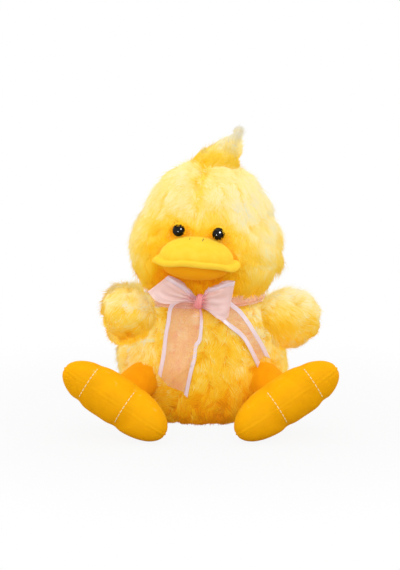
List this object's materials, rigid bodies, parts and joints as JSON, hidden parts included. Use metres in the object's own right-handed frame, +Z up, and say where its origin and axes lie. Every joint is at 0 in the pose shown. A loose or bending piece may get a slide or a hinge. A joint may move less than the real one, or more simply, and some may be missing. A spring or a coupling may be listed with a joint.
{
  "type": "plush duck",
  "caption": "Sitting stuffed duck with a turning and nodding head, padded flapping wings, swinging legs with broad webbed feet, a soft bill and an organza ribbon tied at the neck.",
  "frame": {"origin": "middle of the flat seat under the body, on the plane the duck sits on", "axes": "+Z up, the duck looks along -Y, the duck's left side as the viewer sees it is -X"},
  "size_m": [0.2651, 0.2271, 0.2912],
  "materials": {
    "pile": "long soft yellow pile",
    "fibre": "white polyester fibre fill",
    "velour": "short smooth golden velour",
    "velour_orange": "short smooth orange velour",
    "eye_plastic": "polished black",
    "washer_plastic": "moulded natural white",
    "organza": "sheer pink organza with satin edges"
  },
  "bodies": {
    "body": {"body_skin": "pile", "body_stuffing": "fibre", "tail": "pile", "ribbon_collar": "organza", "bow_knot": "organza", "bow_loop_left": "organza", "bow_loop_right": "organza", "bow_tail_left": "organza", "bow_tail_right": "organza"},
    "neck": {"neck_stuffing": "fibre"},
    "head": {"head_skin": "pile", "head_stuffing": "fibre", "crest": "pile", "eye_left": "eye_plastic", "eye_right": "eye_plastic", "eye_washer_left": "washer_plastic", "eye_washer_right": "washer_plastic", "bill_upper": "velour", "bill_lower": "velour_orange"},
    "wing_left": {"wing_skin_left": "pile", "wing_stuffing_left": "fibre"},
    "wing_right": {"wing_skin_right": "pile", "wing_stuffing_right": "fibre"},
    "leg_left": {"leg_sleeve_left": "velour_orange", "leg_stuffing_left": "fibre", "foot_skin_left": "velour", "foot_stuffing_left": "fibre"},
    "leg_right": {"leg_sleeve_right": "velour_orange", "leg_stuffing_right": "fibre", "foot_skin_right": "velour", "foot_stuffing_right": "fibre"}
  },
  "joints": [
    {"name": "head_turn", "type": "hinge", "parent": "body", "child": "neck", "pos_m": [0, 0.002, 0.1225], "axis": [0, 0, 1], "range_deg": [-15, 15], "stiffness_Nm_per_rad": 0.5},
    {"name": "head_nod", "type": "hinge", "parent": "neck", "child": "head", "pos_m": [0, 0.002, 0.1225], "axis": [1, 0, 0], "range_deg": [-6, 2], "stiffness_Nm_per_rad": 1},
    {"name": "wing_left_flap", "type": "hinge", "parent": "body", "child": "wing_left", "pos_m": [-0.06273, -0.0298, 0.10555], "axis": [-0.829, 0.5592, 0], "range_deg": [-5, 30], "stiffness_Nm_per_rad": 0.1},
    {"name": "wing_right_flap", "type": "hinge", "parent": "body", "child": "wing_right", "pos_m": [0.06273, -0.0298, 0.10555], "axis": [-0.1045, -0.9945, 0], "range_deg": [-5, 30], "stiffness_Nm_per_rad": 0.1},
    {"name": "leg_left_swing", "type": "hinge", "parent": "body", "child": "leg_left", "pos_m": [-0.06004, -0.05189, 0.04686], "axis": [-1, 0, 0], "range_deg": [-10, 25], "stiffness_Nm_per_rad": 0.3},
    {"name": "leg_right_swing", "type": "hinge", "parent": "body", "child": "leg_right", "pos_m": [0.06004, -0.05189, 0.04686], "axis": [-1, 0, 0], "range_deg": [-10, 25], "stiffness_Nm_per_rad": 0.3}
  ]
}
